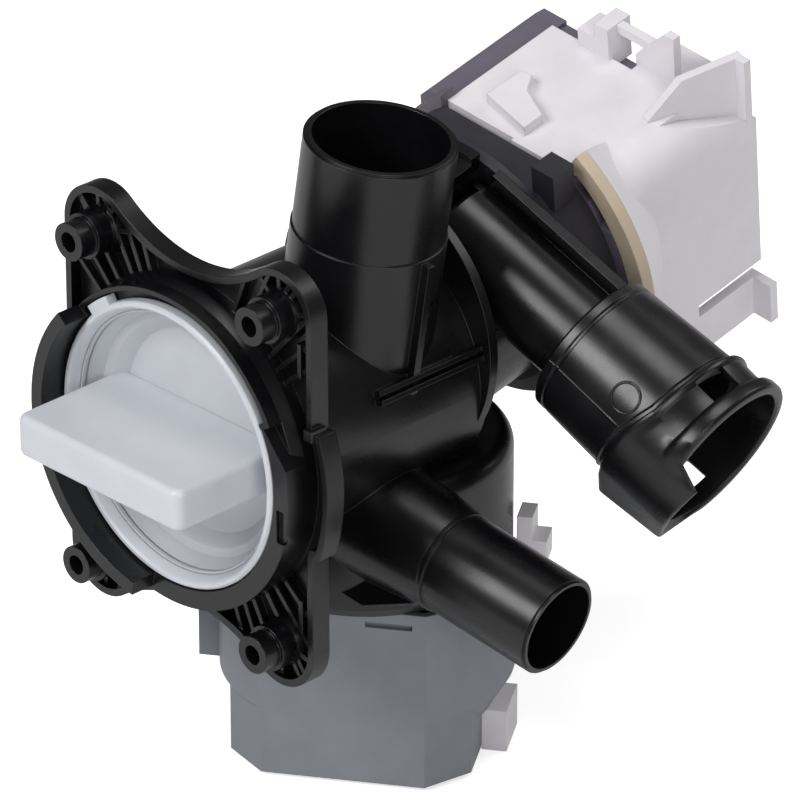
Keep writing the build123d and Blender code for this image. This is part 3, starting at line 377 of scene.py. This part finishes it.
class PumpStageSettings(bpy.types.PropertyGroup):
    """The studio round the pump."""

    azimuth: bpy.props.FloatProperty(
        name="Camera azimuth", description="Way round from the filter's mouth, towards the right",
        default=math.radians(45.5), subtype="ANGLE")
    elevation: bpy.props.FloatProperty(
        name="Camera elevation", description="Height of the camera above the horizon",
        default=math.radians(27.5), subtype="ANGLE")
    distance: bpy.props.FloatProperty(
        name="Camera distance", description="From the camera to the point it looks at",
        default=1.521, unit="LENGTH")
    target: bpy.props.FloatVectorProperty(
        name="Looked-at point", description="The point at the middle of the picture",
        default=(0.0330, 0.04056, 0.0094), subtype="TRANSLATION")
    lens: bpy.props.FloatProperty(
        name="Lens", description="Focal length on a 36 mm wide sensor, in millimetres", default=315.0)
    floor_colour: bpy.props.StringProperty(
        name="Floor", description="The studio paper's colour, as sRGB hex", default="#f6f6f6")


class PumpFinishSettings(bpy.types.PropertyGroup):
    """Colours of the mouldings, each the light tone as sRGB hex."""

    black: bpy.props.StringProperty(name="Black", description="Sump, volute and nozzle", default="#0f0f12")
    milky: bpy.props.StringProperty(name="Milky", description="Filter cap and basket", default="#d3d5da")
    grey: bpy.props.StringProperty(name="Grey", description="Drain motor's cover", default="#85888f")
    white: bpy.props.StringProperty(name="White", description="Cover and small housings", default="#e9e6ea")


class PUMP_OT_stage(bpy.types.Operator):
    """Makes the floor, the lamps, the world and the camera"""

    bl_idname = "pump.stage"
    bl_label = "Studio"

    def execute(self, context):
        """The camera stands back from its target along the azimuth and elevation, upright."""
        chosen = context.scene.pump_stage
        a, e = chosen.azimuth, chosen.elevation
        right = Vector((math.cos(a), math.sin(a), 0.0))
        back = Vector((math.sin(a) * math.cos(e), -math.cos(a) * math.cos(e), math.sin(e)))
        up = back.cross(right)
        camera = bpy.data.objects.new("camera", bpy.data.cameras.new("camera"))
        context.scene.collection.objects.link(camera)
        place = Vector(chosen.target) + back * chosen.distance
        turned = [[right[i], up[i], back[i], place[i]] for i in range(3)]
        camera.matrix_world = Matrix(turned + [[0, 0, 0, 1]])
        camera.data.lens, camera.data.sensor_width = chosen.lens, SENSOR_MM
        camera.data.clip_start, camera.data.clip_end = NEAREST, FARTHEST
        context.scene.camera = camera
        low, half = CAD_BOX[0][2] - FLOOR_BELOW, FLOOR_HALF
        data = bpy.data.meshes.new("studio_floor")
        corners = [(-half, -half, low), (half, -half, low), (half, half, low), (-half, half, low)]
        data.from_pydata(corners, [], [(0, 1, 2, 3)])
        floor = bpy.data.objects.new("studio_floor", data)
        context.scene.collection.objects.link(floor)
        material, tree, _ = blank("studio paper")
        matt = add(tree, "ShaderNodeBsdfDiffuse", {"Color": linear(chosen.floor_colour)})
        seen = add(tree, "ShaderNodeLightPath")
        either = add(tree, "ShaderNodeMath",
                     {0: seen.outputs["Is Camera Ray"], 1: seen.outputs["Is Transmission Ray"]},
                     operation="MAXIMUM")
        lift = add(tree, "ShaderNodeMath", {0: either.outputs[0], 1: FLOOR_GLOW}, operation="MULTIPLY")
        glow = add(tree, "ShaderNodeEmission", {"Color": (1, 1, 1, 1), "Strength": lift.outputs[0]})
        both = add(tree, "ShaderNodeAddShader", {0: matt.outputs[0], 1: glow.outputs[0]})
        add(tree, "ShaderNodeOutputMaterial", {"Surface": both.outputs[0]})
        data.materials.append(material)
        for name, at, size, power in LAMPS:
            lamp = bpy.data.lights.new(name, "AREA")
            lamp.shape, lamp.size, lamp.energy = "SQUARE", size, power
            shown = bpy.data.objects.new(name, lamp)
            context.scene.collection.objects.link(shown)
            shown.location = at
            shown.rotation_euler = (Vector(chosen.target) - Vector(at)).to_track_quat("-Z", "Y").to_euler()
        world = bpy.data.worlds.new("soft room")
        context.scene.world = world
        world.use_nodes = True
        background = world.node_tree.nodes["Background"]
        background.inputs["Color"].default_value = (1, 1, 1, 1)
        background.inputs["Strength"].default_value = ROOM_LIGHT
        context.scene.view_settings.view_transform = "Standard"
        return {"FINISHED"}


class PUMP_OT_mouldings(bpy.types.Operator):
    """Gives every plastic node its moulded finish"""

    bl_idname = "pump.mouldings"
    bl_label = "Plastic mouldings"

    def execute(self, context):
        """Each node takes one named plastic."""
        chosen = context.scene.pump_finish
        # Talc-filled polypropylene from a polished mould: near black, long soft highlights, faint flow marks
        black = moulded("black polypropylene", chosen.black, "#09090b", (0.24, 0.36), 0.5, 0.010)
        dress(black, "front_flange", "sump_body", "drain_outlet_spigot",
              "circulation_volute", "discharge_nozzle")
        # Natural polypropylene: milky, light goes a few millimetres in before it comes back
        milky = moulded("natural polypropylene", chosen.milky, "#c3c6cd", (0.30, 0.42), 0.8, 0.008,
                        **{"Subsurface Weight": 0.25, "Subsurface Radius": (1.0, 0.97, 0.95),
                           "Subsurface Scale": 4 * MM})
        dress(milky, "filter_cap", "filter_basket")
        # Glass-filled polyamide in grey: slightly speckled, matt
        grey = moulded("grey glass-filled polyamide", chosen.grey, "#777a81", (0.42, 0.55), 0.45, 0.014, 6.0)
        dress(grey, "drain_motor_cover")
        # Flame-retardant polybutylene terephthalate: warm white, matt, a little chalky
        white = moulded("white polybutylene terephthalate", chosen.white, "#dcd8de",
                        (0.42, 0.56), 0.6, 0.014, 9.0)
        dress(white, "circulation_cover", "drain_latch_tongue", "drain_catch", "drain_terminal_housing")
        # Dark grey polyamide, injection moulded: the pump heads, a shade lighter and duller than the sump
        dark = moulded("dark polyamide", "#34323a", "#27262c", (0.38, 0.5), 0.5, 0.012)
        dress(dark, "drain_pump_head", "circulation_pump_head", "drain_impeller", "circulation_impeller")
        # Mauve grey polyamide, spark-eroded mould: a matt housing with no clear highlight
        mauve = moulded("mauve grey polyamide", "#6c6874", "#5d5965", (0.4, 0.52), 0.5, 0.012, 8.0)
        dress(mauve, "circulation_motor_housing")
        # Phenolic resin, pressed: tan, matt, slightly mottled
        tan = moulded("tan phenolic resin", "#cfc0aa", "#bfae95", (0.5, 0.62), 0.5, 0.012, 5.0)
        dress(tan, "circulation_former")
        # Nitrile rubber, pressed: black, matt, so that it reads as soft
        rubber = moulded("nitrile rubber", "#1a1a1a", "#121212", (0.6, 0.72), 0.4, 0.01)
        dress(rubber, "filter_seal")
        # Sintered alumina bushes: ivory, polished
        ivory = moulded("alumina ceramic", "#e6e2d6", "#dbd6c8", (0.18, 0.26), 0.3, 0.004)
        dress(ivory, "drain_bushes", "circulation_bushes")
        # Barium ferrite: dark grey, dull
        ferrite = moulded("barium ferrite", "#3b3b3f", "#2d2d31", (0.5, 0.62), 0.35, 0.012)
        dress(ferrite, "drain_magnet", "circulation_magnet")
        return {"FINISHED"}


class PUMP_OT_metals(bpy.types.Operator):
    """Gives every metal node its finish"""

    bl_idname = "pump.metals"
    bl_label = "Metals"

    def execute(self, context):
        """Lines run across the stack, round the coil, and along the shaft."""
        # Stamped electrical steel: stacked 0.5 mm sheets show as lines
        steel = metal("stamped electrical steel", "#8c8c90", "#6a6a70", 0.45, 0.5, (0.02, 0.02, 1.0), 0.05)
        dress(steel, "drain_stator_core", "circulation_stator_core")
        # Enamelled copper wire, wound: 0.3 mm turns
        copper = metal("enamelled copper wire", "#b3653a", "#8c4423", 0.3, 0.3, (1.0, 0.05, 1.0), 0.06)
        dress(copper, "drain_coils", "circulation_coils")
        # Ground stainless steel: fine rings round the shaft give a narrow bright line
        ground = metal("ground stainless steel", "#c8c8cc", "#a8a8ae", 0.18, 0.1, (1.0, 1.0, 0.05), 0.004)
        dress(ground, "drain_shaft", "circulation_shaft")
        # Tinned brass blade: pale, bright
        tin = metal("tinned brass", "#cfcfcd", "#b4b4b2", 0.25, 0.2, (1.0, 1.0, 0.1), 0.004)
        dress(tin, "drain_terminals")
        return {"FINISHED"}


class PUMP_PT_panel(bpy.types.Panel):
    """Lists the steps in the order that they run"""

    bl_idname = "PUMP_PT_panel"
    bl_label = "Washer drain pump"
    bl_space_type = "VIEW_3D"
    bl_region_type = "UI"
    bl_category = "Pump"

    def draw(self, context):
        """One button for each step."""
        for step in STEPS:
            self.layout.operator(step.bl_idname)


STEPS = (PUMP_OT_stage, PUMP_OT_mouldings, PUMP_OT_metals, PUMP_OT_nozzle)
CLASSES = (PumpStageSettings, PumpFinishSettings, PumpNozzleSettings, *STEPS, PUMP_PT_panel)


def register():
    """Registers the classes and hangs the settings on the scene."""
    for made in CLASSES:
        bpy.utils.register_class(made)
    bpy.types.Scene.pump_stage = bpy.props.PointerProperty(type=PumpStageSettings)
    bpy.types.Scene.pump_finish = bpy.props.PointerProperty(type=PumpFinishSettings)
    bpy.types.Scene.pump_nozzle = bpy.props.PointerProperty(type=PumpNozzleSettings)


def unregister():
    """Takes the settings and the classes away again."""
    del bpy.types.Scene.pump_nozzle
    del bpy.types.Scene.pump_finish
    del bpy.types.Scene.pump_stage
    for made in reversed(CLASSES):
        bpy.utils.unregister_class(made)


def main():
    register()
    bpy.ops.pump.stage()
    bpy.ops.pump.mouldings()
    bpy.ops.pump.metals()
    bpy.ops.pump.nozzle()


if __name__ == "__main__":
    main()
